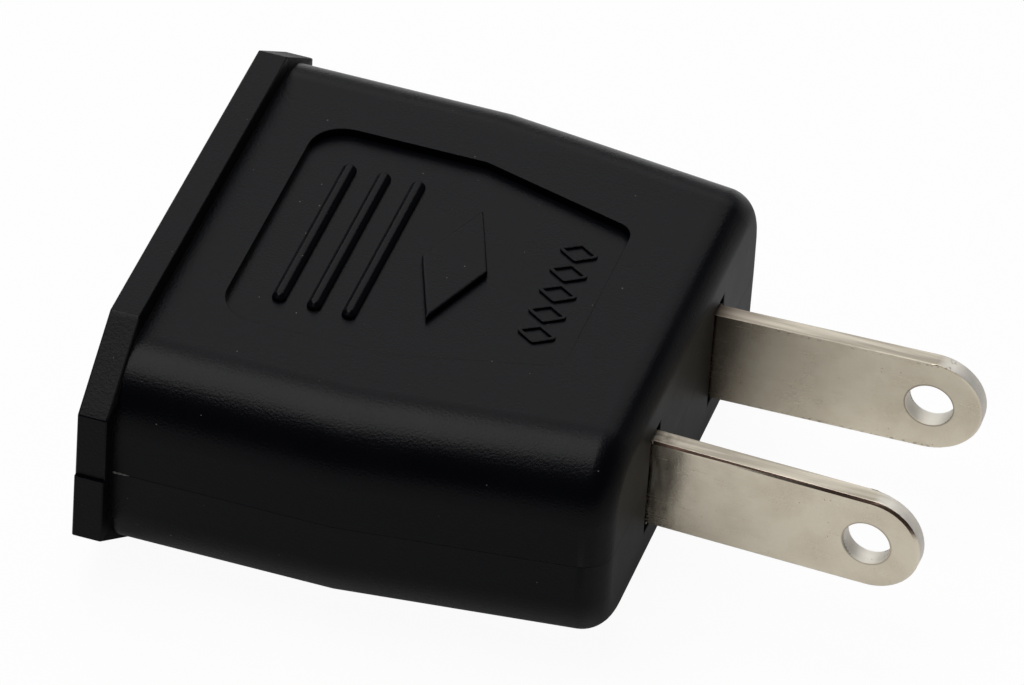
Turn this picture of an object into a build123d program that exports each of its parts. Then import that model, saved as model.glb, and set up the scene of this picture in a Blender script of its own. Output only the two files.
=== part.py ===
from build123d import *
import math
import os

# Flat travel adapter: round-pin socket at one end, two flat blades at the other.
# Millimetres. +X runs along the adapter towards the blade tips, +Y across it, +Z up.
# The origin lies under the middle of the whole adapter, on the surface it lies on.

# body, a moulded case in two halves that part at mid-height
body_length = 31.7
body_half_height = 7.15
body_half_width = 17.7
shoulder_x = 15.5
end_half_width = 15.6
body_draft = 1.5
long_edge_radius = 4.5
face_edge_radius = 2.0
side_wall = 1.8
roof_wall = 2.0
front_wall = 2.4
end_wall = 2.2
cavity_chamfer = 1.6

# flange round the socket end, an octagon seen from the end
flange_thickness = 1.85
flange_half_height = 8.45
flange_top_half_width = 13.35
flange_half_width = 18.7
flange_side_half_height = 4.5
flange_edge_radius = 0.12
lower_half_overhang = 0.2

# shallow panel on the broad faces, with three bars and a lozenge on the upper one
panel_depth = 0.55
panel_start_x = 5.3
panel_end_x = 25.9
panel_half_width = 9.75
panel_bend_x = 15.8
panel_end_half_width = 6.9
panel_corner_radius = 2.3
panel_end_radius = 1.3
bar_x = 8.2
bar_pitch = 2.17
bar_count = 3
bar_length = 13.8
bar_width = 0.9
bar_chamfer = 0.28
relief_height = 0.45
lozenge_x = 16.95
lozenge_length = 4.1
lozenge_width = 10.9
lozenge_chamfer = 0.1

# blades, solid strip with a full-round end and a hole, punched so that the outer edges roll over
blade_spacing = 12.7
blade_width = 6.35
blade_thickness = 1.2
blade_reach = 16.8
blade_outer_chamfer = 0.17
blade_hole_radius = 1.47
blade_hole_from_tip = 3.29
right_splay = 2.2
left_splay = 1.7
left_set_back = 0.15
blade_inner_end_x = 20.2
blade_shoulder_width = 8.4
blade_shoulder_length = 2.1
blade_slot_side_gap = 0.35
blade_slot_end_gap = 0.47

# sockets for round pins of 4.0 mm, with room for 4.8 mm
pin_spacing = 19.0
pin_largest_radius = 2.4
pin_hole_radius = 2.7
pin_hole_lead = 0.5
clip_thickness = 0.5
clip_bore_radius = 1.95
clip_front_x = 3.1
clip_length = 9.6
clip_slit = 1.1
clip_neck_height = 2.6
clip_tail_height = 5.4
clip_tail_end_x = 25.7
clip_tail_start_x = 20.0

# rivets that join each clip to its blade
rivet_x = 22.85
rivet_pitch = 2.8
rivet_shank_radius = 0.7
rivet_head_radius = 1.2
rivet_head_height = 0.45
rivet_clearance = 0.04

# inside of the case
rib_thickness = 1.2
front_saddle_x = 5.0
rear_saddle_x = 11.2
saddle_clearance = 0.15
blade_rib_gap = 0.1
partition_y = 3.9
partition_thickness = 1.0
fusion = 0.3

# one screw from below holds the halves together
screw_x = 16.0
screw_shank_radius = 1.2
screw_length = 8.4
screw_point_length = 1.0
screw_point_inset = 0.8
screw_head_radius = 2.3
screw_head_height = 1.5
screw_drive_length = 2.4
screw_drive_width = 0.6
screw_drive_depth = 0.8
screw_seat_thickness = 4.0
screw_hole_clearance = 0.25
screw_recess_clearance = 0.35
thread_fit = 0.02
screw_boss_wall = 1.0
pilot_spare_depth = 0.6

# pegs that line the halves up, and a lip along the long sides
peg_radius = 0.9
peg_length = 1.6
peg_fit = 0.08
peg_spare_depth = 0.3
peg_boss_radius = 1.8
peg_x = 5.0
peg_y = 14.2
lip_height = 0.8
lip_thickness = 0.7
lip_fit = 0.08
lip_start_x = 7.5
lip_end_x = 24.0

parting_height = flange_half_height
parting_tolerance = 0.05
end_spare = 1.0
socket_x = -(body_length + blade_reach) / 2
datum = (socket_x, 0, parting_height)
cavity_height = body_half_height - roof_wall
end_wall_x = body_length - end_wall
shoulder_front_x = end_wall_x - blade_rib_gap
blade_rib_x = shoulder_front_x - blade_shoulder_length - blade_rib_gap - rib_thickness / 2

# parting plane with x along the adapter, and a cross-section plane, for each half
upper_flat = Plane(origin=datum, x_dir=(1, 0, 0), z_dir=(0, 0, 1))
upper_across = Plane(origin=datum, x_dir=(0, 1, 0), z_dir=(1, 0, 0))
lower_flat = Plane(origin=datum, x_dir=(1, 0, 0), z_dir=(0, 0, -1))
lower_across = Plane(origin=datum, x_dir=(0, -1, 0), z_dir=(1, 0, 0))


def half_width_at(x):
    run = (body_half_width - end_half_width) / (body_length - shoulder_x)
    return body_half_width - max(0, x - shoulder_x) * run


def body_form(front, back, inset, height, soften, corner):
    # upper half of the drafted body, or of its cavity, between two distances from the socket face
    stations = (front - end_spare, shoulder_x, back + end_spare)
    right = [(x, inset - half_width_at(x)) for x in stations]
    left = [(x, half_width_at(x) - inset) for x in reversed(stations)]
    with BuildPart() as form:
        with BuildSketch(upper_flat):
            with BuildLine():
                Polyline(*right, *left, close=True)
            make_face()
        extrude(amount=height, taper=body_draft)

        # the draft leans the ends too, so they are cut off square
        split(bisect_by=upper_across.offset(front), keep=Keep.TOP)
        split(bisect_by=upper_across.offset(back), keep=Keep.BOTTOM)
        roof = form.faces().sort_by(Axis.Z)[-1]
        soften(roof.edges().filter_by(Axis.Y, reverse=True), corner)
    return form.part


def flange_form(across, side_half_width):
    # half of the octagonal flange, its front and back outlines softened
    with BuildPart() as flange:
        with BuildSketch(across):
            with BuildLine():
                Polyline(
                    (-side_half_width, 0),
                    (-side_half_width, flange_side_half_height),
                    (-flange_top_half_width, flange_half_height),
                    (flange_top_half_width, flange_half_height),
                    (side_half_width, flange_side_half_height),
                    (side_half_width, 0),
                    close=True,
                )
            make_face()
        extrude(amount=flange_thickness)
        outlines = edges_off_parting(flange.faces().filter_by(Axis.X).edges())
        fillet(outlines, radius=flange_edge_radius)
    return flange.part


def edges_off_parting(edges):
    return edges.filter_by(lambda edge: abs(edge.center().Z - parting_height) > parting_tolerance)


def panel_outline(plane):
    with BuildSketch(plane) as outline:
        with BuildLine():
            Polyline(
                (panel_start_x, -panel_half_width),
                (panel_bend_x, -panel_half_width),
                (panel_end_x, -panel_end_half_width),
                (panel_end_x, panel_end_half_width),
                (panel_bend_x, panel_half_width),
                (panel_start_x, panel_half_width),
                close=True,
            )
        make_face()
        fillet(outline.vertices().group_by(Axis.X)[0], radius=panel_corner_radius)
        fillet(outline.vertices().group_by(Axis.X)[-1], radius=panel_end_radius)
    return outline.sketch


def case_half(flat, across, side_half_width, skin, cavity):
    # everything that the two halves share: skin, cavity, ribs, pin holes and blade slots
    rib_height = cavity_height + fusion
    saddle_radius = pin_largest_radius + clip_thickness + saddle_clearance
    slot_half_height = blade_width / 2 + blade_slot_end_gap
    slot_width = blade_thickness + 2 * blade_slot_side_gap
    flange = flange_form(across, side_half_width)
    with BuildPart() as half:
        add(skin)
        plug_face = half.faces().sort_by(Axis.X)[-1]
        fillet(edges_off_parting(plug_face.edges()), radius=face_edge_radius)
        add(flange)
        add(cavity, mode=Mode.SUBTRACT)
        extrude(panel_outline(flat.offset(body_half_height)), amount=-panel_depth, mode=Mode.SUBTRACT)

        # ribs across the half, partitions along it, and bosses for the pegs
        with BuildSketch(flat):
            for x in (front_saddle_x, rear_saddle_x, blade_rib_x):
                outer_y = half_width_at(x) - side_wall + fusion
                with Locations((x, (partition_y + outer_y) / 2), (x, -(partition_y + outer_y) / 2)):
                    Rectangle(rib_thickness, outer_y - partition_y)
            length = end_wall_x - front_wall + 2 * fusion
            middle = (front_wall + end_wall_x) / 2
            with Locations((middle, partition_y), (middle, -partition_y)):
                Rectangle(length, partition_thickness)
            with Locations(*peg_spots()):
                Circle(peg_boss_radius)
        extrude(amount=rib_height)

        # round saddles for the contact sleeves
        with BuildSketch(across.offset(front_wall)):
            with Locations((pin_spacing / 2, 0), (-pin_spacing / 2, 0)):
                Circle(saddle_radius)
        extrude(amount=rear_saddle_x + rib_thickness - front_wall, mode=Mode.SUBTRACT)

        # round holes for the pins, opened out at the socket face
        with BuildSketch(across):
            with Locations((pin_spacing / 2, 0), (-pin_spacing / 2, 0)):
                Circle(pin_hole_radius)
        extrude(amount=front_wall + fusion, mode=Mode.SUBTRACT)
        socket_face = half.faces().sort_by(Axis.X)[0]
        hole_rims = socket_face.edges().filter_by(GeomType.CIRCLE).sort_by(SortBy.RADIUS)[-2:]
        chamfer(hole_rims, length=pin_hole_lead)

        # slots for the blades in the end wall, and close slots in the rib behind it
        with BuildSketch(across.offset(end_wall_x - fusion)):
            with Locations((blade_spacing / 2, 0), (-blade_spacing / 2, 0)):
                Rectangle(slot_width, 2 * slot_half_height)
        extrude(amount=end_wall + 2 * fusion, mode=Mode.SUBTRACT)
        with BuildSketch(across.offset(blade_rib_x - rib_thickness / 2)):
            with Locations((blade_spacing / 2, 0), (-blade_spacing / 2, 0)):
                Rectangle(blade_thickness + 2 * blade_rib_gap, blade_width + 2 * blade_rib_gap)
        extrude(amount=rib_thickness, mode=Mode.SUBTRACT)
    return half.part


def peg_spots():
    return [(peg_x, peg_y), (peg_x, -peg_y)]


def lip_outline(plane, clearance):
    # strips just inside the long side walls, following their bend
    start = lip_start_x - clearance
    end = lip_end_x + clearance
    with BuildSketch(plane) as outline:
        for side in (1, -1):
            outer = [(x, side * (half_width_at(x) - side_wall + lip_thickness + clearance))
                     for x in (start, shoulder_x, end)]
            inner = [(x, side * (half_width_at(x) - side_wall - clearance))
                     for x in (end, shoulder_x, start)]
            with BuildLine():
                Polyline(*outer, *inner, close=True)
            make_face()
    return outline.sketch


def raised_bars():
    # the bars in the upper panel, their tops well rounded off
    with BuildPart() as bars:
        with BuildSketch(upper_flat.offset(body_half_height - panel_depth)):
            with Locations((bar_x + bar_pitch * (bar_count - 1) / 2, 0)):
                with GridLocations(bar_pitch, 0, bar_count, 1):
                    SlotOverall(bar_length, bar_width, rotation=90)
        extrude(amount=relief_height)
        chamfer(bars.faces().group_by(Axis.Z)[-1].edges(), length=bar_chamfer)
    return bars.part


def raised_lozenge():
    # the flat-topped lozenge beside the bars
    half_length = lozenge_length / 2
    half_width = lozenge_width / 2
    with BuildPart() as lozenge:
        with BuildSketch(upper_flat.offset(body_half_height - panel_depth)):
            with Locations((lozenge_x, 0)):
                Polygon((half_length, 0), (0, half_width), (-half_length, 0), (0, -half_width))
        extrude(amount=relief_height)
        chamfer(lozenge.faces().sort_by(Axis.Z)[-1].edges(), length=lozenge_chamfer)
    return lozenge.part


# skin and cavity, the lower half's mirrored from the upper's
upper_skin = body_form(flange_thickness / 2, body_length, 0, body_half_height, fillet, long_edge_radius)
upper_cavity = body_form(front_wall, end_wall_x, side_wall, cavity_height, chamfer, cavity_chamfer)
lower_skin = mirror(upper_skin, about=upper_flat)
lower_cavity = mirror(upper_cavity, about=upper_flat)

# upper half of the case: panel relief, screw boss, pegs and lip
upper_case = case_half(upper_flat, upper_across, flange_half_width, upper_skin, upper_cavity)
bars_relief = raised_bars()
lozenge_relief = raised_lozenge()
with BuildPart() as upper_shell:
    add(upper_case)
    add(bars_relief)
    add(lozenge_relief)
    with BuildSketch(upper_flat):
        with Locations((screw_x, 0)):
            Circle(screw_shank_radius + thread_fit + screw_boss_wall)
    extrude(amount=cavity_height + fusion)
    with BuildSketch(upper_flat):
        with Locations((screw_x, 0)):
            Circle(screw_shank_radius + thread_fit)
    extrude(amount=screw_length - screw_seat_thickness + pilot_spare_depth, mode=Mode.SUBTRACT)
    with BuildSketch(upper_flat):
        with Locations(*peg_spots()):
            Circle(peg_radius)
    extrude(amount=-peg_length)
    extrude(lip_outline(upper_flat, 0), amount=-lip_height)
upper_shell.part.label = "upper_shell"

# lower half of the case: screw recess, holes for the pegs and a rebate for the lip
lower_half_width = flange_half_width + lower_half_overhang
lower_case = case_half(lower_flat, lower_across, lower_half_width, lower_skin, lower_cavity)
recess_radius = screw_head_radius + screw_recess_clearance
with BuildPart() as lower_shell:
    add(lower_case)
    with BuildSketch(lower_flat):
        with Locations((screw_x, 0)):
            Circle(recess_radius + screw_boss_wall)
    extrude(amount=cavity_height + fusion)
    with BuildSketch(lower_flat.offset(screw_seat_thickness)):
        with Locations((screw_x, 0)):
            Circle(recess_radius)
    extrude(amount=body_half_height - screw_seat_thickness, mode=Mode.SUBTRACT)
    with BuildSketch(lower_flat):
        with Locations((screw_x, 0)):
            Circle(screw_shank_radius + screw_hole_clearance)
    extrude(amount=screw_seat_thickness, mode=Mode.SUBTRACT)
    with BuildSketch(lower_flat):
        with Locations(*peg_spots()):
            Circle(peg_radius + peg_fit)
    extrude(amount=peg_length + peg_spare_depth, mode=Mode.SUBTRACT)
    extrude(lip_outline(lower_flat, lip_fit), amount=lip_height + lip_fit, mode=Mode.SUBTRACT)
lower_shell.part.label = "lower_shell"


def strip_plane(side, y):
    # plane of a metal strip: x along the adapter, facing outwards on its own side
    origin = (socket_x, side * y, parting_height)
    return Plane(origin=origin, x_dir=(1, 0, 0), z_dir=(0, side, 0))


def splayed_plane(side, angle):
    # plane of a blade outside the case, turned outwards about its root
    lean = math.radians(angle)
    origin = (socket_x + body_length, side * blade_spacing / 2, parting_height)
    along = (math.cos(lean), side * math.sin(lean), 0)
    return Plane(origin=origin, x_dir=along, z_dir=(-math.sin(lean), side * math.cos(lean), 0))


def rivet_spots():
    return [rivet_x - rivet_pitch / 2, rivet_x + rivet_pitch / 2]


def blade_leg(side):
    # the part of a blade inside the case, with its shoulders and its rivet holes
    leg_length = body_length - blade_inner_end_x
    with BuildPart() as leg:
        with BuildSketch(strip_plane(side, blade_spacing / 2)):
            with Locations((blade_inner_end_x, 0)):
                Rectangle(leg_length, blade_width, align=(Align.MIN, Align.CENTER))
            with Locations((shoulder_front_x, 0)):
                Rectangle(blade_shoulder_length, blade_shoulder_width, align=(Align.MAX, Align.CENTER))
            with Locations(*[(x, 0) for x in rivet_spots()]):
                Circle(rivet_shank_radius + rivet_clearance, mode=Mode.SUBTRACT)
        extrude(amount=blade_thickness / 2, both=True)
    return leg.part


def make_blade(side, splay, reach):
    half_width = blade_width / 2
    leg = blade_leg(side)
    with BuildPart() as blade:
        with BuildSketch(splayed_plane(side, splay)):
            with Locations((-end_wall / 2, 0)):
                Rectangle(end_wall / 2 + reach - half_width, blade_width, align=(Align.MIN, Align.CENTER))
            with Locations((reach - half_width, 0)):
                Circle(half_width)
        extrude(amount=blade_thickness / 2, both=True)
        outer_face = max(blade.faces(), key=lambda face: side * face.center().Y)
        chamfer(outer_face.edges(), length=blade_outer_chamfer)
        with BuildSketch(splayed_plane(side, splay)):
            with Locations((reach - blade_hole_from_tip, 0)):
                Circle(blade_hole_radius)
        extrude(amount=blade_thickness / 2, both=True, mode=Mode.SUBTRACT)
        add(leg)
    return blade.part


def make_clip(side):
    # rolled sleeve for the pin, a narrow neck, and a flat tail on the blade's outer side
    outer_radius = clip_bore_radius + clip_thickness
    clip_rear_x = clip_front_x + clip_length
    tail_y = (blade_spacing + blade_thickness) / 2
    wall_y = pin_spacing / 2 - outer_radius
    with BuildPart() as clip:
        with BuildSketch(upper_across.offset(clip_front_x)):
            with Locations((side * pin_spacing / 2, 0)):
                Circle(outer_radius)
                Circle(clip_bore_radius, mode=Mode.SUBTRACT)
            with Locations((side * (pin_spacing / 2 + outer_radius), 0)):
                Rectangle(2 * outer_radius, clip_slit, mode=Mode.SUBTRACT)
        extrude(amount=clip_length)
        with BuildSketch(upper_flat):
            with BuildLine():
                Polyline(
                    (clip_tail_start_x + clip_thickness, side * tail_y),
                    (clip_tail_start_x, side * tail_y),
                    (clip_rear_x, side * wall_y),
                    (clip_rear_x - clip_thickness, side * wall_y),
                    (clip_rear_x - clip_thickness, side * (wall_y + clip_thickness)),
                    (clip_rear_x, side * (wall_y + clip_thickness)),
                    (clip_tail_start_x, side * (tail_y + clip_thickness)),
                    (clip_tail_start_x + clip_thickness, side * (tail_y + clip_thickness)),
                    close=True,
                )
            make_face()
        extrude(amount=clip_neck_height / 2, both=True)
        with BuildSketch(strip_plane(side, tail_y)):
            with Locations((clip_tail_start_x, 0)):
                tail_length = clip_tail_end_x - clip_tail_start_x
                Rectangle(tail_length, clip_tail_height, align=(Align.MIN, Align.CENTER))
            with Locations(*[(x, 0) for x in rivet_spots()]):
                Circle(rivet_shank_radius + rivet_clearance, mode=Mode.SUBTRACT)
        extrude(amount=clip_thickness)
    return clip.part


def make_rivet(side, x):
    # head on the clip's tail, the other end peened flush with the blade's inner face
    inner_y = (blade_spacing - blade_thickness) / 2
    grip = blade_thickness + clip_thickness
    with BuildPart() as rivet:
        with BuildSketch(strip_plane(side, inner_y)):
            with Locations((x, 0)):
                Circle(rivet_shank_radius)
        extrude(amount=grip)
        with BuildSketch(strip_plane(side, inner_y + grip)):
            with Locations((x, 0)):
                Circle(rivet_head_radius)
        extrude(amount=rivet_head_height)
    return rivet.part


left_blade = make_blade(1, left_splay, blade_reach - left_set_back)
left_blade.label = "left_blade"
right_blade = make_blade(-1, right_splay, blade_reach)
right_blade.label = "right_blade"
left_pin_clip = make_clip(1)
left_pin_clip.label = "left_pin_clip"
right_pin_clip = make_clip(-1)
right_pin_clip.label = "right_pin_clip"

# self-tapping screw, its head seated in the lower half
with BuildPart() as casing_screw:
    seat = lower_flat.offset(screw_seat_thickness)
    with BuildSketch(seat):
        with Locations((screw_x, 0)):
            Circle(screw_head_radius)
    extrude(amount=screw_head_height)
    with BuildSketch(seat.offset(screw_head_height)):
        with Locations((screw_x, 0)):
            Rectangle(screw_drive_length, screw_drive_width)
            Rectangle(screw_drive_width, screw_drive_length)
    extrude(amount=-screw_drive_depth, mode=Mode.SUBTRACT)
    with BuildSketch(seat):
        with Locations((screw_x, 0)):
            Circle(screw_shank_radius)
    extrude(amount=-screw_length)
    point_face = casing_screw.faces().sort_by(Axis.Z)[-1]
    chamfer(point_face.edges(), length=screw_point_inset, length2=screw_point_length)
casing_screw.part.label = "casing_screw"

os.makedirs("parts", exist_ok=True)
export_step(upper_shell.part, "parts/upper_shell.step")
export_step(lower_shell.part, "parts/lower_shell.step")
export_step(left_blade, "parts/left_blade.step")
export_step(right_blade, "parts/right_blade.step")
export_step(left_pin_clip, "parts/left_pin_clip.step")
export_step(right_pin_clip, "parts/right_pin_clip.step")
export_step(casing_screw.part, "parts/casing_screw.step")
for name, side in (("left", 1), ("right", -1)):
    for place, x in zip(("rear", "front"), rivet_spots()):
        rivet = make_rivet(side, x)
        rivet.label = f"{name}_{place}_rivet"
        export_step(rivet, f"parts/{rivet.label}.step")
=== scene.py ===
import math

import bmesh
import bpy
from mathutils import Matrix, Vector


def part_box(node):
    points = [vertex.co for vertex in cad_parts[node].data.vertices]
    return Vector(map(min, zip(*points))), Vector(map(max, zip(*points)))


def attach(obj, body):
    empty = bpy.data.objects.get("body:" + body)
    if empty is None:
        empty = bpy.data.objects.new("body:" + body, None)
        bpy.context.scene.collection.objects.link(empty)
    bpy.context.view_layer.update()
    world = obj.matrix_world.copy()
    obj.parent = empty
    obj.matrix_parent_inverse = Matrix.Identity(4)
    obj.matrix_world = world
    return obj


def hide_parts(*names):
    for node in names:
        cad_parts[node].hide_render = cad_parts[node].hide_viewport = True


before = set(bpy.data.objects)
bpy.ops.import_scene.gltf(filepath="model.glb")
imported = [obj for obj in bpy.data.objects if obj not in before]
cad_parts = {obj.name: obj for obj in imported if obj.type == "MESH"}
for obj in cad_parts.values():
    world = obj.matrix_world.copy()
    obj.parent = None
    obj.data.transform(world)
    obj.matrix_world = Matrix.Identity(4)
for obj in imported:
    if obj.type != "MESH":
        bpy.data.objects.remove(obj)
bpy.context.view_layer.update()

# Places that the CAD gives, in metres: +X runs to the blade tips, +Z up.
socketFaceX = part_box("lower_shell")[0][0]
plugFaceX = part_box("upper_shell")[1][0]
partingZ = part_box("lower_shell")[1][2]

# Sizes of the CAD's forms that the materials and the edges follow, in metres.
flangeThickness = 0.00185
flangeTopHalfWidth = 0.01335
flangeSideHalfHeight = 0.0045
bladeHalfWidth = 0.003175
leftHoleReach = 0.013354
rightHoleReach = 0.0135
holeRadius = 0.00147


# camera
cameraValues = {
    "eye": (0.13020, -0.48664, 0.42076),
    "forward": (-0.20550, 0.74829, -0.63074),
    "rollDegrees": 4.13,
    "lensMillimetres": 384.8,
    "sensorMillimetres": 36.0,
    "nearest": 0.01,
    "farthest": 20.0,
}


def addCamera(values):
    data = bpy.data.cameras.new("photoCamera")
    data.lens = values["lensMillimetres"]
    data.sensor_width = values["sensorMillimetres"]
    data.clip_start = values["nearest"]
    data.clip_end = values["farthest"]
    camera = bpy.data.objects.new("photoCamera", data)
    bpy.context.scene.collection.objects.link(camera)
    looking = Vector(values["forward"]).to_track_quat("-Z", "Y").to_matrix()
    rolled = looking @ Matrix.Rotation(math.radians(values["rollDegrees"]), 3, "Z")
    camera.matrix_world = Matrix.Translation(values["eye"]) @ rolled.to_4x4()
    bpy.context.scene.camera = camera
    print("camera ready")


# small helpers for meshes and nodes
def linkPiece(name, mesh):
    piece = bpy.data.objects.new(name, mesh)
    bpy.context.scene.collection.objects.link(piece)
    return piece


def smoothMesh(mesh, sharpDegrees):
    for polygon in mesh.polygons:
        polygon.use_smooth = True
    mesh.set_sharp_from_angle(angle=math.radians(sharpDegrees))


def addNode(tree, kind, inputs, **settings):
    # each input is given a plain value or linked to the socket that stands for it
    node = tree.nodes.new(kind)
    for label, value in settings.items():
        setattr(node, label, value)
    for label, value in inputs.items():
        if isinstance(value, bpy.types.NodeSocket):
            tree.links.new(value, node.inputs[label])
        else:
            node.inputs[label].default_value = value
    return node


def mathNode(tree, operation, first, *others):
    # more than two values make a chain of nodes
    for second in others or (0.0,):
        first = addNode(tree, "ShaderNodeMath", {0: first, 1: second}, operation=operation).outputs[0]
    return first


def product(tree, *factors):
    return mathNode(tree, "MULTIPLY", *factors)


def fade(tree, value, start, end, fromShare=0.0, toShare=1.0):
    # goes evenly from one share to the other while the value goes from start to end
    inputs = {"Value": value, "From Min": start, "From Max": end, "To Min": fromShare, "To Max": toShare}
    return addNode(tree, "ShaderNodeMapRange", inputs, clamp=True).outputs["Result"]


def fadeOut(tree, value, start, end):
    return fade(tree, value, start, end, 1.0, 0.0)


def mixColour(tree, share, first, second):
    # the Mix node's inputs 6 and 7 and its output 2 are its colours
    start, end = [(*value, 1.0) if isinstance(value, tuple) else value for value in (first, second)]
    return addNode(tree, "ShaderNodeMix", {0: share, 6: start, 7: end}, data_type="RGBA").outputs[2]


def splitVector(tree, vector):
    parts = addNode(tree, "ShaderNodeSeparateXYZ", {0: vector}).outputs
    return parts["X"], parts["Y"], parts["Z"]


def stretchedNoise(tree, place, scale, detail):
    # noise drawn out along an axis, from its three scales
    stretch = addNode(tree, "ShaderNodeMapping", {"Vector": place, "Scale": scale})
    inputs = {"Vector": stretch.outputs["Vector"], "Scale": 1.0, "Detail": detail}
    return addNode(tree, "ShaderNodeTexNoise", inputs).outputs["Fac"]


def newMaterial(name):
    material = bpy.data.materials.new(name)
    material.use_nodes = True
    tree = material.node_tree
    tree.nodes.clear()
    surface = tree.nodes.new("ShaderNodeBsdfPrincipled")
    addNode(tree, "ShaderNodeOutputMaterial", {"Surface": surface.outputs["BSDF"]})
    return material, tree, surface


def addRelief(tree, surface, height):
    # bump whose height is in metres
    bump = addNode(tree, "ShaderNodeBump", {"Distance": 1.0, "Height": height})
    tree.links.new(bump.outputs["Normal"], surface.inputs["Normal"])


# shared shader groups
def startGroup(name, inputs, outputs):
    group = bpy.data.node_groups.new(name, "ShaderNodeTree")
    group.interface.new_socket("Vector", in_out="INPUT", socket_type="NodeSocketVector")
    for label, default in inputs.items():
        socket = group.interface.new_socket(label, in_out="INPUT", socket_type="NodeSocketFloat")
        socket.default_value = default
    for label in outputs:
        group.interface.new_socket(label, in_out="OUTPUT", socket_type="NodeSocketFloat")
    return group, group.nodes.new("NodeGroupInput").outputs


def makeGrainGroup():
    # moulded or rolled grain: a height for bump, and a slow patchiness
    group, given = startGroup(
        "surfaceGrain", {"Grain Scale": 7000.0, "Patch Scale": 220.0}, ("Height", "Patches")
    )
    results = {}
    for label, scale, detail, roughness in (
        ("Height", "Grain Scale", 3.0, 0.6),
        ("Patches", "Patch Scale", 4.0, 0.55),
    ):
        inputs = {"Vector": given["Vector"], "Scale": given[scale], "Detail": detail, "Roughness": roughness}
        results[label] = addNode(group, "ShaderNodeTexNoise", inputs).outputs["Fac"]
    addNode(group, "NodeGroupOutput", results)
    return group


def makeSpeckGroup():
    # scattered specks: dust on plastic, pits on plated metal
    group, given = startGroup("scatteredSpecks", {"Cells": 900.0, "Size": 0.09, "Share": 0.2}, ("Mask",))
    inputs = {"Vector": given["Vector"], "Scale": given["Cells"]}
    cells = addNode(group, "ShaderNodeTexVoronoi", inputs).outputs
    chance = addNode(group, "ShaderNodeSeparateColor", {"Color": cells["Color"]}).outputs
    chosen = mathNode(group, "LESS_THAN", chance[0], given["Share"])
    size = product(group, given["Size"], chance[1])
    near = mathNode(group, "SUBTRACT", size, cells["Distance"])
    soft = fade(group, mathNode(group, "DIVIDE", near, size), 0.0, 0.5)
    addNode(group, "NodeGroupOutput", {"Mask": product(group, chosen, soft)})
    return group


grainGroup = makeGrainGroup()
speckGroup = makeSpeckGroup()


def grainNode(tree, place, grainScale, patchScale):
    inputs = {"Vector": place, "Grain Scale": grainScale, "Patch Scale": patchScale}
    return addNode(tree, "ShaderNodeGroup", inputs, node_tree=grainGroup).outputs


def specks(tree, place, cells, size, share):
    inputs = {"Vector": place, "Cells": cells, "Size": size, "Share": share}
    return addNode(tree, "ShaderNodeGroup", inputs, node_tree=speckGroup).outputs["Mask"]


# black moulded plastic
plasticValues = {
    "black": (0.0009, 0.0010, 0.0018),
    "patchLift": 1.7,
    "slantBlack": (0.0075, 0.0075, 0.0080),
    "dust": (0.13, 0.13, 0.125),
    "dustCells": 1500.0,
    "dustSize": 0.085,
    "dustShare": 0.30,
    "roughness": 0.27,
    "smootherBy": 0.03,
    "rougherBy": 0.04,
    "slantRoughness": 0.46,
    "endFaceRoughness": 0.50,
    "specularLevel": 0.09,
    "grainScale": 6500.0,
    "patchScale": 180.0,
    "patchRange": (0.3, 0.7),
    "slantGrainScale": 4200.0,
    "slantPatchScale": 2400.0,
    "grainHeight": 0.000022,
    "slantGrainHeight": 0.00003,
}
flashPlasticValues = {**plasticValues, "black": (0.085, 0.083, 0.078)}

# how far the plastic's masks fade, in metres from the edge of the faces that they cover
maskValues = {
    "flangeMargin": 0.00005,
    "besideTop": 0.00025,
    "aboveSide": 0.0003,
    "plugFaceStart": 0.0010,
    "plugFaceFull": 0.0003,
    "flangeBackFull": 0.00003,
    "flangeBackEnd": 0.00006,
}
flangeBackX = socketFaceX + flangeThickness


def slantingFaces(tree, place, values):
    # mask for the slanting faces of the flange, which are spark-eroded and coarse
    x, y, z = splitVector(tree, place)
    inFlange = mathNode(tree, "LESS_THAN", x, flangeBackX + values["flangeMargin"])
    outward = mathNode(tree, "ABSOLUTE", y)
    beyondTop = fade(tree, outward, flangeTopHalfWidth, flangeTopHalfWidth + values["besideTop"])
    height = mathNode(tree, "ABSOLUTE", mathNode(tree, "SUBTRACT", z, partingZ))
    aboveSide = fade(tree, height, flangeSideHalfHeight, flangeSideHalfHeight + values["aboveSide"])
    return product(tree, inFlange, beyondTop, aboveSide)


def endFaces(tree, place, values):
    # mask for the face that the blades come out of, and for the back of the flange
    x = splitVector(tree, place)[0]
    plugEnd = fade(tree, x, plugFaceX - values["plugFaceStart"], plugFaceX - values["plugFaceFull"])
    off = mathNode(tree, "ABSOLUTE", mathNode(tree, "SUBTRACT", x, flangeBackX))
    flangeBack = fadeOut(tree, off, values["flangeBackFull"], values["flangeBackEnd"])
    return mathNode(tree, "MAXIMUM", plugEnd, flangeBack)


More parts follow.
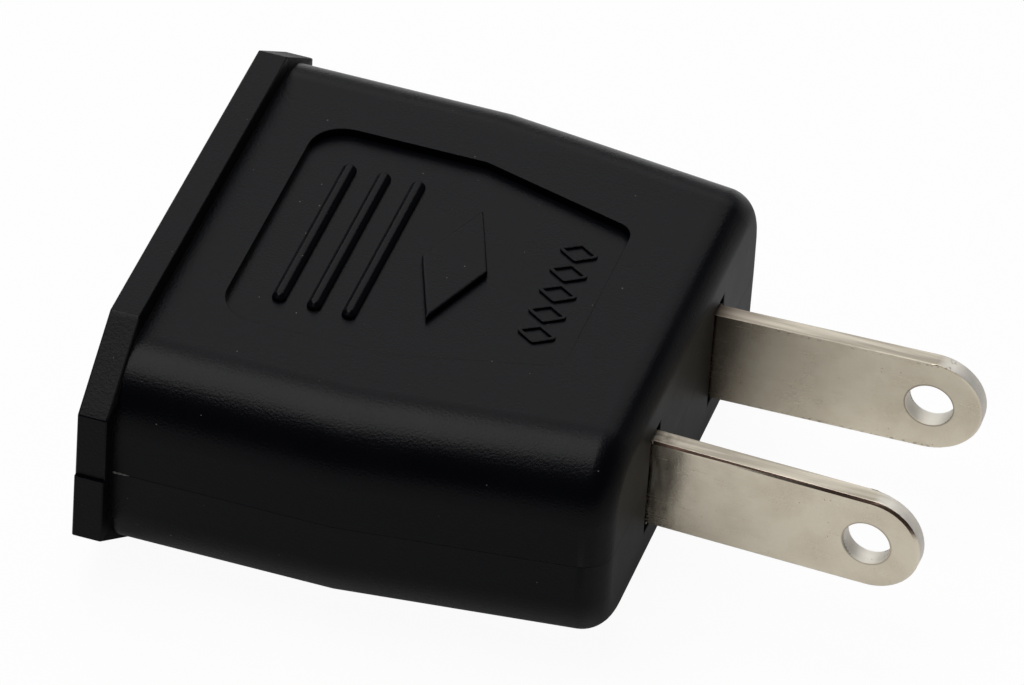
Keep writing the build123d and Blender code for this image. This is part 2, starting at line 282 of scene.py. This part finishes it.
def makePlastic(name, values):
    material, tree, surface = newMaterial(name)
    place = tree.nodes.new("ShaderNodeTexCoord").outputs["Object"]
    grain = grainNode(tree, place, values["grainScale"], values["patchScale"])
    coarse = grainNode(tree, place, values["slantGrainScale"], values["slantPatchScale"])
    dust = specks(tree, place, values["dustCells"], values["dustSize"], values["dustShare"])
    slanting = slantingFaces(tree, place, maskValues)

    paler = tuple(values["patchLift"] * channel for channel in values["black"])
    tint = mixColour(tree, grain["Patches"], values["black"], paler)
    tint = mixColour(tree, slanting, tint, values["slantBlack"])
    tree.links.new(mixColour(tree, dust, tint, values["dust"]), surface.inputs["Base Color"])

    plain = values["roughness"]
    low, high = plain - values["smootherBy"], plain + values["rougherBy"]
    rougher = [
        fade(tree, grain["Patches"], *values["patchRange"], low, high),
        product(tree, slanting, values["slantRoughness"] - plain),
        product(tree, endFaces(tree, place, maskValues), values["endFaceRoughness"] - plain),
    ]
    tree.links.new(mathNode(tree, "ADD", *rougher), surface.inputs["Roughness"])
    surface.inputs["Specular IOR Level"].default_value = values["specularLevel"]

    fineHeight = product(tree, grain["Height"], values["grainHeight"])
    coarseHeight = product(tree, coarse["Height"], values["slantGrainHeight"], slanting)
    addRelief(tree, surface, mathNode(tree, "ADD", fineHeight, coarseHeight))
    return material


# plated and bare metals
metalValues = {
    "smootherBy": 0.03,
    "rougherBy": 0.07,
    "smudgeRange": (0.40, 0.72),
    "patchRange": (0.3, 0.7),
    "grainScale": 7000.0,
    "patchScale": 420.0,
    "grainHeight": 0.000003,
    "pitCells": 2600.0,
    "pitSize": 0.13,
    "pitShare": 0.35,
    "pitDepth": 0.000004,
    "scratchScale": (180.0, 6000.0, 9000.0),
    "scratchDetail": 2.0,
    "scratchRange": (0.60, 0.70),
    "scratchRoughness": 0.05,
    "scratchDepth": 0.0000008,
}
nickelValues = {
    **metalValues,
    "bright": (0.75, 0.68, 0.55),
    "smudged": (0.65, 0.575, 0.455),
    "pit": (0.22, 0.16, 0.10),
    "roughness": 0.21,
    "scratchDepth": 0.0000002,
}
brassValues = {
    **metalValues,
    "bright": (0.70, 0.52, 0.24),
    "smudged": (0.50, 0.35, 0.15),
    "pit": (0.12, 0.08, 0.04),
    "roughness": 0.30,
}
steelValues = {
    **metalValues,
    "bright": (0.50, 0.50, 0.51),
    "smudged": (0.34, 0.34, 0.35),
    "pit": (0.10, 0.09, 0.08),
    "roughness": 0.34,
}

# wear of the blades, with painted shade at the roots and along the upper chamfer and painted light on the
# hole's wall and round tip; lengths in metres from the plug face, an edge, a hole's wall or the parting
wearAndPaintedLightValues = {
    "mottleRange": (0.35, 0.65),
    "mottle": 0.30,
    "sheared": (0.33, 0.30, 0.245),
    "shearedStreak": (0.58, 0.53, 0.445),
    "shearedScale": (140.0, 2600.0, 2600.0),
    "shearedDetail": 3.0,
    "shearedRange": (0.38, 0.66),
    "shearedRoughness": 0.46,
    # painted light: pale colour on the hole's wall and the round tip
    "paintedLightOnShear": (0.95, 0.92, 0.86),
    "paintedLightOnShearStrength": 0.8,
    "holeAndTipRoughness": 0.70,
    "holeWallMargin": 0.00003,
    "paintedLightTip": (0.0136, 0.0146),
    "narrowFacing": (0.35, 0.60),
    "chamferFacing": (0.45, 0.62),
    "flatFacing": (0.80, 0.92),
    # painted shade: dark brown line along the upper chamfer
    "chamferPaintedShade": (0.23, 0.125, 0.09),
    "chamferPaintedShadeStrength": 0.85,
    "chamferPaintedShadeAbove": (0.0012, 0.0020),
    # colour for the tarnish, the spots and the burr ring, and for the painted shade at the roots
    "stainAndShade": (0.13, 0.10, 0.075),
    "stainAndShadeStrength": 0.85,
    "rootLength": 0.0024,
    "rootScale": (2600.0, 2600.0, 500.0),
    "rootDetail": 3.0,
    "rootRange": (0.35, 0.70),
    # painted shade over the far blade reaches this far from the plug face
    "farRootShadeLength": 0.0058,
    "spotScale": (3400.0, 3400.0, 3400.0),
    "spotDetail": 2.0,
    "spotRange": (0.52, 0.62),
    "spotStrength": 0.6,
    "lowerSpots": (0.00010, 0.00024),
    "upperSpotsStart": (0.00008, 0.00012),
    "upperSpotsEnd": (0.00016, 0.00024),
    "ringStart": 0.00001,
    "ringEnd": (0.00005, 0.00013),
    "nearRing": 0.55,
    "farRing": 0.75,
}


def bladePlace(tree, place):
    # where on a blade a point lies: on which blade, and off the plug face, the parting and the hole's middle
    x, y, z = splitVector(tree, place)
    farBlade = mathNode(tree, "GREATER_THAN", y, 0.0)
    along = mathNode(tree, "SUBTRACT", x, plugFaceX)
    above = mathNode(tree, "SUBTRACT", z, partingZ)
    holeReach = fade(tree, farBlade, 0.0, 1.0, rightHoleReach, leftHoleReach)
    besideHole = mathNode(tree, "SUBTRACT", along, holeReach)
    squares = [mathNode(tree, "POWER", value, 2.0) for value in (besideHole, above)]
    fromHole = mathNode(tree, "SQRT", mathNode(tree, "ADD", *squares))
    return {"farBlade": farBlade, "along": along, "above": above, "fromHole": fromHole}


def rootTarnishAndShade(tree, place, spot, values):
    # streaks at both blades' roots, partly tarnish and partly painted shade, and painted shade spread evenly
    # over more of the far blade, for the dark plug face and shadowed floor that its root reflects
    noise = stretchedNoise(tree, place, values["rootScale"], values["rootDetail"])
    streaks = fade(tree, noise, *values["rootRange"])
    nearRoot = fadeOut(tree, spot["along"], 0.0, values["rootLength"])
    farRoot = fadeOut(tree, spot["along"], 0.0, values["farRootShadeLength"])
    # painted shade over the far blade near its root
    farBladeShade = product(tree, spot["farBlade"], farRoot, farRoot)
    return mathNode(tree, "MAXIMUM", product(tree, nearRoot, streaks), farBladeShade)


def edgeSpots(tree, place, spot, values):
    # spots along the lower edge of both blades and under the far blade's upper edge
    noise = stretchedNoise(tree, place, values["spotScale"], values["spotDetail"])
    spots = fade(tree, noise, *values["spotRange"])
    fromBottom = mathNode(tree, "ADD", spot["above"], bladeHalfWidth)
    fromTop = mathNode(tree, "SUBTRACT", bladeHalfWidth, spot["above"])
    lower = fadeOut(tree, fromBottom, *values["lowerSpots"])
    upper = product(
        tree, spot["farBlade"],
        fade(tree, fromTop, *values["upperSpotsStart"]), fadeOut(tree, fromTop, *values["upperSpotsEnd"]),
    )
    return product(tree, mathNode(tree, "MAXIMUM", lower, upper), spots, values["spotStrength"])


def holeRing(tree, spot, values):
    # thin dark burr round a blade's hole, stronger on the far blade
    outside = mathNode(tree, "GREATER_THAN", spot["fromHole"], holeRadius + values["ringStart"])
    ring = fadeOut(tree, spot["fromHole"], *[holeRadius + width for width in values["ringEnd"]])
    strength = fade(tree, spot["farBlade"], 0.0, 1.0, values["nearRing"], values["farRing"])
    return product(tree, ring, outside, strength)


def bladeSides(tree, normal, spot, values):
    # masks for a blade's narrow faces, which the die left dull, and for its upper chamfer, which gets a
    # painted shade: a dark brown line that stands in for the dark the chamfer reflects
    sideways = mathNode(tree, "ABSOLUTE", splitVector(tree, normal)[1])
    narrow = fadeOut(tree, sideways, *values["narrowFacing"])
    chamfer = product(
        tree, fade(tree, sideways, *values["chamferFacing"]), fadeOut(tree, sideways, *values["flatFacing"]),
        fade(tree, spot["above"], *values["chamferPaintedShadeAbove"]),
    )
    return narrow, chamfer


def paintedLightOnShear(tree, spot, values):
    # mask for the hole's wall and the round tip, which get painted light: a paler colour for the light that
    # fills the hole and the highlight where the tip begins
    inHole = mathNode(tree, "LESS_THAN", spot["fromHole"], holeRadius + values["holeWallMargin"])
    return mathNode(tree, "MAXIMUM", inHole, fade(tree, spot["along"], *values["paintedLightTip"]))


def addWearAndPaintedLight(tree, coordinates, height, colour, values):
    # the colour of a blade with its wear, painted shade and painted light, and how much rougher than its
    # flat faces it is
    place = coordinates["Object"]
    spot = bladePlace(tree, place)
    mottle = fade(tree, height, *values["mottleRange"], 0.0, values["mottle"])
    colour = mixColour(tree, mottle, colour, values["smudged"])

    narrow, chamfer = bladeSides(tree, coordinates["Normal"], spot, values)
    noise = stretchedNoise(tree, place, values["shearedScale"], values["shearedDetail"])
    streaks = fade(tree, noise, *values["shearedRange"])
    dull = mixColour(tree, streaks, values["sheared"], values["shearedStreak"])
    # painted light lifts the dull colour on the hole's wall and the round tip
    holeAndTip = paintedLightOnShear(tree, spot, values)
    dull = mixColour(tree, product(tree, holeAndTip, values["paintedLightOnShearStrength"]), dull, values["paintedLightOnShear"])
    colour = mixColour(tree, narrow, colour, dull)
    # painted shade along the upper chamfer
    chamferShaded = product(tree, chamfer, values["chamferPaintedShadeStrength"])
    colour = mixColour(tree, chamferShaded, colour, values["chamferPaintedShade"])

    # painted shade at the roots joins the tarnish, the spots and the burr ring
    tarnishAndShade = mathNode(
        tree, "MAXIMUM", rootTarnishAndShade(tree, place, spot, values), edgeSpots(tree, place, spot, values),
        holeRing(tree, spot, values),
    )
    colour = mixColour(tree, product(tree, tarnishAndShade, values["stainAndShadeStrength"]), colour, values["stainAndShade"])
    dullBy = values["shearedRoughness"] - values["roughness"]
    holeAndTipRougherBy = values["holeAndTipRoughness"] - values["roughness"]
    return colour, product(tree, narrow, fade(tree, holeAndTip, 0.0, 1.0, dullBy, holeAndTipRougherBy))


def makeMetal(name, values, withWearAndPaintedLight=False):
    material, tree, surface = newMaterial(name)
    coordinates = tree.nodes.new("ShaderNodeTexCoord").outputs
    place = coordinates["Object"]
    grain = grainNode(tree, place, values["grainScale"], values["patchScale"])
    pits = specks(tree, place, values["pitCells"], values["pitSize"], values["pitShare"])
    lines = stretchedNoise(tree, place, values["scratchScale"], values["scratchDetail"])
    scratches = fade(tree, lines, *values["scratchRange"])

    smudge = fade(tree, grain["Patches"], *values["smudgeRange"])
    colour = mixColour(tree, smudge, values["bright"], values["smudged"])
    low, high = values["roughness"] - values["smootherBy"], values["roughness"] + values["rougherBy"]
    rougher = [
        fade(tree, grain["Patches"], *values["patchRange"], low, high),
        product(tree, scratches, values["scratchRoughness"]),
    ]
    if withWearAndPaintedLight:
        colour, more = addWearAndPaintedLight(tree, coordinates, grain["Height"], colour, {**values, **wearAndPaintedLightValues})
        rougher.append(more)
    tree.links.new(mixColour(tree, pits, colour, values["pit"]), surface.inputs["Base Color"])
    tree.links.new(mathNode(tree, "ADD", *rougher), surface.inputs["Roughness"])
    surface.inputs["Metallic"].default_value = 1.0

    height = product(tree, grain["Height"], values["grainHeight"])
    cut = product(tree, scratches, values["scratchDepth"])
    dent = product(tree, pits, values["pitDepth"])
    addRelief(tree, surface, mathNode(tree, "SUBTRACT", height, cut, dent))
    return material


satinBlack = makePlastic("satinBlack", plasticValues)
paleFlash = makePlastic("paleFlash", flashPlasticValues)
# the blades' wear carries painted shade and painted light too
nickelPlate = makeMetal("nickelPlate", nickelValues, withWearAndPaintedLight=True)
contactBrass = makeMetal("contactBrass", brassValues)
zincSteel = makeMetal("zincSteel", steelValues)
print("materials ready")


# case halves and blades, with the small edge radii that moulds and dies leave
edgeValues = {
    "case": {
        "radius": 0.00008, "plainRadius": 0.00008, "partingRadius": 0.000025, "segments": 2,
        "sharpDegrees": 32.0, "smoothDegrees": 50.0,
    },
    "blade": {
        "radius": 0.00022, "plainRadius": 0.000015, "partingRadius": 0.000015, "segments": 2,
        "sharpDegrees": 25.0, "smoothDegrees": 30.0,
    },
}
meshValues = {
    "mergeWithin": 0.0000005,
    "flatDegrees": 0.4,
    "partingWithin": 0.00001,
    "squareDegrees": 70.0,
    "shortestBlade": 0.005,
    "rimWithin": 0.0003,
    "tipBlend": 0.0012,
}


def plainMeshFrom(holder, name):
    # the holder's mesh with its modifiers applied; the holder itself goes
    evaluated = holder.evaluated_get(bpy.context.evaluated_depsgraph_get())
    mesh = bpy.data.meshes.new_from_object(evaluated)
    mesh.name = name
    bpy.data.objects.remove(holder)
    return mesh


def tipShare(edge, tipX, values):
    # how far an edge of the rim lies round a blade's round end, from 0 where the end begins
    middle = (edge.verts[0].co + edge.verts[1].co) / 2
    along, up = middle.x - (tipX - bladeHalfWidth), middle.z - partingZ
    offRim = math.hypot(along, up) < bladeHalfWidth - values["rimWithin"]
    if offRim or tipX < plugFaceX + values["shortestBlade"]:
        return 0.0
    return min(max(along / values["tipBlend"], 0.0), 1.0)


def markEdges(mesh, radii, values):
    # how far each edge is rounded off: corners that stand out, and less of it along the parting
    form = bmesh.new()
    form.from_mesh(mesh)
    bmesh.ops.remove_doubles(form, verts=form.verts, dist=values["mergeWithin"])
    bmesh.ops.dissolve_limit(
        form, angle_limit=math.radians(values["flatDegrees"]), verts=form.verts, edges=form.edges,
        use_dissolve_boundaries=False,
    )
    weights = form.edges.layers.float.new("bevel_weight_edge")
    sharp, square = math.radians(radii["sharpDegrees"]), math.radians(values["squareDegrees"])
    tipX = max(vertex.co.x for vertex in form.verts)
    for edge in form.edges:
        angle = edge.calc_face_angle_signed() if len(edge.link_faces) == 2 else 0.0
        if angle > sharp:
            atParting = all(abs(vertex.co.z - partingZ) < values["partingWithin"] for vertex in edge.verts)
            radius = radii["partingRadius"] if atParting else radii["plainRadius"]
            if angle > square:
                radius = max(radius, radii["radius"] * tipShare(edge, tipX, values))
            edge[weights] = radius / radii["radius"]
    form.to_mesh(mesh)
    form.free()


def keepInside(mesh, box):
    # a rounded corner can overshoot its flat neighbours by a few microns
    low, high = box
    for vertex in mesh.vertices:
        vertex.co = [min(max(value, low[axis]), high[axis]) for axis, value in enumerate(vertex.co)]


def softenedCopy(nodeName, pieceName, radii, material):
    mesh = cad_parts[nodeName].data.copy()
    if "custom_normal" in mesh.attributes:
        mesh.attributes.remove(mesh.attributes["custom_normal"])
    markEdges(mesh, radii, meshValues)
    holder = linkPiece(pieceName + "Holder", mesh)
    bevel = holder.modifiers.new("edgeRadius", "BEVEL")
    bevel.limit_method = "WEIGHT"
    bevel.width = radii["radius"]
    bevel.segments = radii["segments"]
    bevel.use_clamp_overlap = False
    mesh = plainMeshFrom(holder, pieceName)
    keepInside(mesh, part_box(nodeName))
    mesh.materials.clear()
    mesh.materials.append(material)
    smoothMesh(mesh, radii["smoothDegrees"])
    piece = linkPiece(pieceName, mesh)
    weighted = piece.modifiers.new("weightedNormals", "WEIGHTED_NORMAL")
    weighted.keep_sharp = True
    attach(piece, "root")
    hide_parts(nodeName)
    return piece


upperCase = softenedCopy("upper_shell", "upperCase", edgeValues["case"], satinBlack)
lowerCase = softenedCopy("lower_shell", "lowerCase", edgeValues["case"], satinBlack)
for side in ("left", "right"):
    blade = softenedCopy(f"{side}_blade", f"{side}Blade", edgeValues["blade"], nickelPlate)
print("case halves and blades ready")


# nodes that stay as the CAD makes them get their metals
def giveMaterial(nodeName, material):
    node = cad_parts[nodeName]
    node.data.materials.clear()
    node.data.materials.append(material)


for side in ("left", "right"):
    giveMaterial(f"{side}_pin_clip", contactBrass)
    for place in ("front", "rear"):
        giveMaterial(f"{side}_{place}_rivet", contactBrass)
giveMaterial("casing_screw", zincSteel)
print("contacts, rivets and screw ready")


# plain raised row of small lozenges at the end of the panel
motifValues = {
    "centreX": 0.0234,
    "count": 5,
    "pitch": 0.00205,
    "length": 0.0023,
    "width": 0.00155,
    "stroke": 0.00026,
    "height": 0.00028,
    "cornerRadius": 0.00014,
    "cornerSteps": 3,
    "ridgeRadius": 0.00006,
    "ridgeSteps": 2,
    "sharpDegrees": 40.0,
    "sunk": 0.00013,
    "panelDepth": 0.00055,
    "caseHalfHeight": 0.00715,
}


def roundedCurve(tree, curve, steps, radius):
    inputs = {"Curve": curve.outputs["Curve"], "Count": steps, "Radius": radius}
    return addNode(tree, "GeometryNodeFilletCurve", inputs, mode="POLY").outputs["Curve"]


def makeLozengeRowTree(values, material):
    tree = bpy.data.node_groups.new("lozengeRow", "GeometryNodeTree")
    tree.interface.new_socket("Geometry", in_out="OUTPUT", socket_type="NodeSocketGeometry")
    tree.interface.new_socket("Count", in_out="INPUT", socket_type="NodeSocketInt")
    for label in ("Pitch", "Length", "Width", "Stroke", "Height"):
        tree.interface.new_socket(label, in_out="INPUT", socket_type="NodeSocketFloat")
    given = tree.nodes.new("NodeGroupInput").outputs

    # one lozenge: a ridge that follows its outline
    half = product(tree, given["Length"], 0.5)
    outline = addNode(
        tree, "GeometryNodeCurvePrimitiveQuadrilateral",
        {"Width": given["Width"], "Bottom Height": half, "Top Height": half}, mode="KITE",
    )
    ridge = addNode(
        tree, "GeometryNodeCurvePrimitiveQuadrilateral",
        {"Width": given["Stroke"], "Height": given["Height"]}, mode="RECTANGLE",
    )
    body = addNode(tree, "GeometryNodeCurveToMesh", {
        "Curve": roundedCurve(tree, outline, values["cornerSteps"], values["cornerRadius"]),
        "Profile Curve": roundedCurve(tree, ridge, values["ridgeSteps"], values["ridgeRadius"]),
    })

    # the row of them
    step = addNode(tree, "ShaderNodeCombineXYZ", {"X": given["Pitch"]})
    inputs = {"Count": given["Count"], "Offset": step.outputs[0]}
    spots = addNode(tree, "GeometryNodeMeshLine", inputs, mode="OFFSET")
    inputs = {"Points": spots.outputs["Mesh"], "Instance": body.outputs["Mesh"]}
    placed = addNode(tree, "GeometryNodeInstanceOnPoints", inputs)
    real = addNode(tree, "GeometryNodeRealizeInstances", {"Geometry": placed.outputs["Instances"]})
    inputs = {"Geometry": real.outputs["Geometry"], "Material": material}
    painted = addNode(tree, "GeometryNodeSetMaterial", inputs)
    addNode(tree, "NodeGroupOutput", {"Geometry": painted.outputs["Geometry"]})
    return tree


def nodesHolder(tree, values, name):
    # an object that carries the node tree, with its inputs set by name
    holder = linkPiece(name + "Holder", bpy.data.meshes.new(name + "Holder"))
    modifier = holder.modifiers.new("nodes", "NODES")
    modifier.node_group = tree
    for item in tree.interface.items_tree:
        key = item.name.lower()
        if item.in_out == "INPUT" and key in values:
            modifier[item.identifier] = values[key]
    return holder


def addMotif(values, material):
    holder = nodesHolder(makeLozengeRowTree(values, material), values, "panelMotif")
    mesh = plainMeshFrom(holder, "panelMotif")
    floorZ = partingZ + values["caseHalfHeight"] - values["panelDepth"]
    length = values["pitch"] * (values["count"] - 1)
    height = floorZ + values["height"] / 2 - values["sunk"]
    turn = Matrix.Rotation(math.radians(-90.0), 4, "Z")
    place = Matrix.Translation((socketFaceX + values["centreX"], length / 2, height))
    mesh.transform(place @ turn)
    smoothMesh(mesh, values["sharpDegrees"])
    piece = linkPiece("panelMotif", mesh)
    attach(piece, "root")


addMotif(motifValues, satinBlack)
print("panel motif ready")


# sliver of flash that stands out of the parting line beside the flange, on the near side
flashValues = {
    "startX": 0.00195,
    "length": 0.0011,
    "sideY": -0.01768,
    "reach": 0.00015,
    "rise": 0.00010,
    "drop": 0.00002,
    "profile": [0.25, 1.0, 0.75, 0.95, 0.6, 0.8, 0.35, 0.15],
}


def addFlash(values, material):
    # triangular sections along the parting line, as large as the profile's shares say
    sections = []
    for index, share in enumerate(values["profile"]):
        x = socketFaceX + values["startX"] + values["length"] * index / (len(values["profile"]) - 1)
        root, tip = values["sideY"], values["sideY"] - values["reach"] * share
        top, low = partingZ + values["rise"] * share, partingZ - values["drop"]
        sections.append([(x, root, top), (x, tip, partingZ + values["drop"] * share), (x, root, low)])
    vertices = [point for section in sections for point in section]
    faces = [(0, 2, 1), tuple(range(len(vertices) - 3, len(vertices)))]
    for first in range(0, len(vertices) - 3, 3):
        for corner in range(3):
            following = (corner + 1) % 3
            faces.append((first + corner, first + following, first + following + 3, first + corner + 3))
    mesh = bpy.data.meshes.new("mouldFlash")
    mesh.from_pydata(vertices, [], faces)
    form = bmesh.new()
    form.from_mesh(mesh)
    bmesh.ops.recalc_face_normals(form, faces=form.faces)
    form.to_mesh(mesh)
    form.free()
    mesh.materials.append(material)
    piece = linkPiece("mouldFlash", mesh)
    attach(piece, "root")


addFlash(flashValues, paleFlash)
print("flash ready")


# white floor, lamps and world
studioValues = {
    "floorColour": (0.78, 0.78, 0.78),
    "floorRoughness": 0.9,
    "floorSpecularLevel": 0.1,
    "floorHalfWidth": 4.0,
    "floorGap": 0.00002,
    "floorSeenWhite": 0.95,
    "floorMirroredWhite": 0.12,
    "worldColour": (0.05, 0.05, 0.053),
    "worldSeenWhite": 1.0,
    "worldMirroredWhite": 0.03,
}
lampValues = [
    {"name": "overheadSoftbox", "place": (-0.205, -0.040, 0.978), "size": (0.70, 0.90), "power": 8.9},
    {"name": "backSoftbox", "place": (-0.226, 0.823, 0.694), "size": (1.4, 0.9), "power": 4.6},
]


def whiteShare(tree, seen, mirrored):
    # share of plain white that a ray gets: the camera's, and those that metal and glass send on
    rays = tree.nodes.new("ShaderNodeLightPath").outputs
    direct = mathNode(tree, "MAXIMUM", rays["Is Camera Ray"], rays["Is Transmission Ray"])
    forMirrored = product(tree, rays["Is Glossy Ray"], mirrored)
    return mathNode(tree, "MAXIMUM", product(tree, direct, seen), forMirrored)


def addFloor(values):
    wide, low = values["floorHalfWidth"], -values["floorGap"]
    mesh = bpy.data.meshes.new("floor")
    corners = [(-wide, -wide, low), (wide, -wide, low), (wide, wide, low), (-wide, wide, low)]
    mesh.from_pydata(corners, [], [(0, 1, 2, 3)])
    material, tree, surface = newMaterial("paleFloor")
    surface.inputs["Base Color"].default_value = (*values["floorColour"], 1.0)
    surface.inputs["Roughness"].default_value = values["floorRoughness"]
    surface.inputs["Specular IOR Level"].default_value = values["floorSpecularLevel"]
    white = tree.nodes.new("ShaderNodeEmission").outputs["Emission"]
    share = whiteShare(tree, values["floorSeenWhite"], values["floorMirroredWhite"])
    mix = addNode(tree, "ShaderNodeMixShader", {0: share, 1: surface.outputs["BSDF"], 2: white})
    tree.links.new(mix.outputs["Shader"], tree.get_output_node("ALL").inputs["Surface"])
    mesh.materials.append(material)
    linkPiece("floor", mesh)


def addLamp(values):
    data = bpy.data.lights.new(values["name"], "AREA")
    data.shape = "RECTANGLE"
    data.size, data.size_y = values["size"]
    data.energy = values["power"]
    lamp = bpy.data.objects.new(values["name"], data)
    bpy.context.scene.collection.objects.link(lamp)
    # it faces the origin, with its width along X as nearly as it can be
    back = Vector(values["place"]).normalized()
    across = (Vector((1.0, 0.0, 0.0)) - back * back.x).normalized()
    turned = Matrix((across, back.cross(across), back)).transposed()
    lamp.matrix_world = Matrix.Translation(values["place"]) @ turned.to_4x4()


def addWorld(values):
    world = bpy.data.worlds.new("studio")
    world.use_nodes = True
    tree = world.node_tree
    share = whiteShare(tree, values["worldSeenWhite"], values["worldMirroredWhite"])
    colour = mixColour(tree, share, values["worldColour"], (1.0, 1.0, 1.0))
    tree.links.new(colour, tree.nodes["Background"].inputs["Color"])
    bpy.context.scene.world = world


addCamera(cameraValues)
addFloor(studioValues)
addWorld(studioValues)
for lamp in lampValues:
    addLamp(lamp)
bpy.context.scene.view_settings.view_transform = "Standard"
print("studio ready")
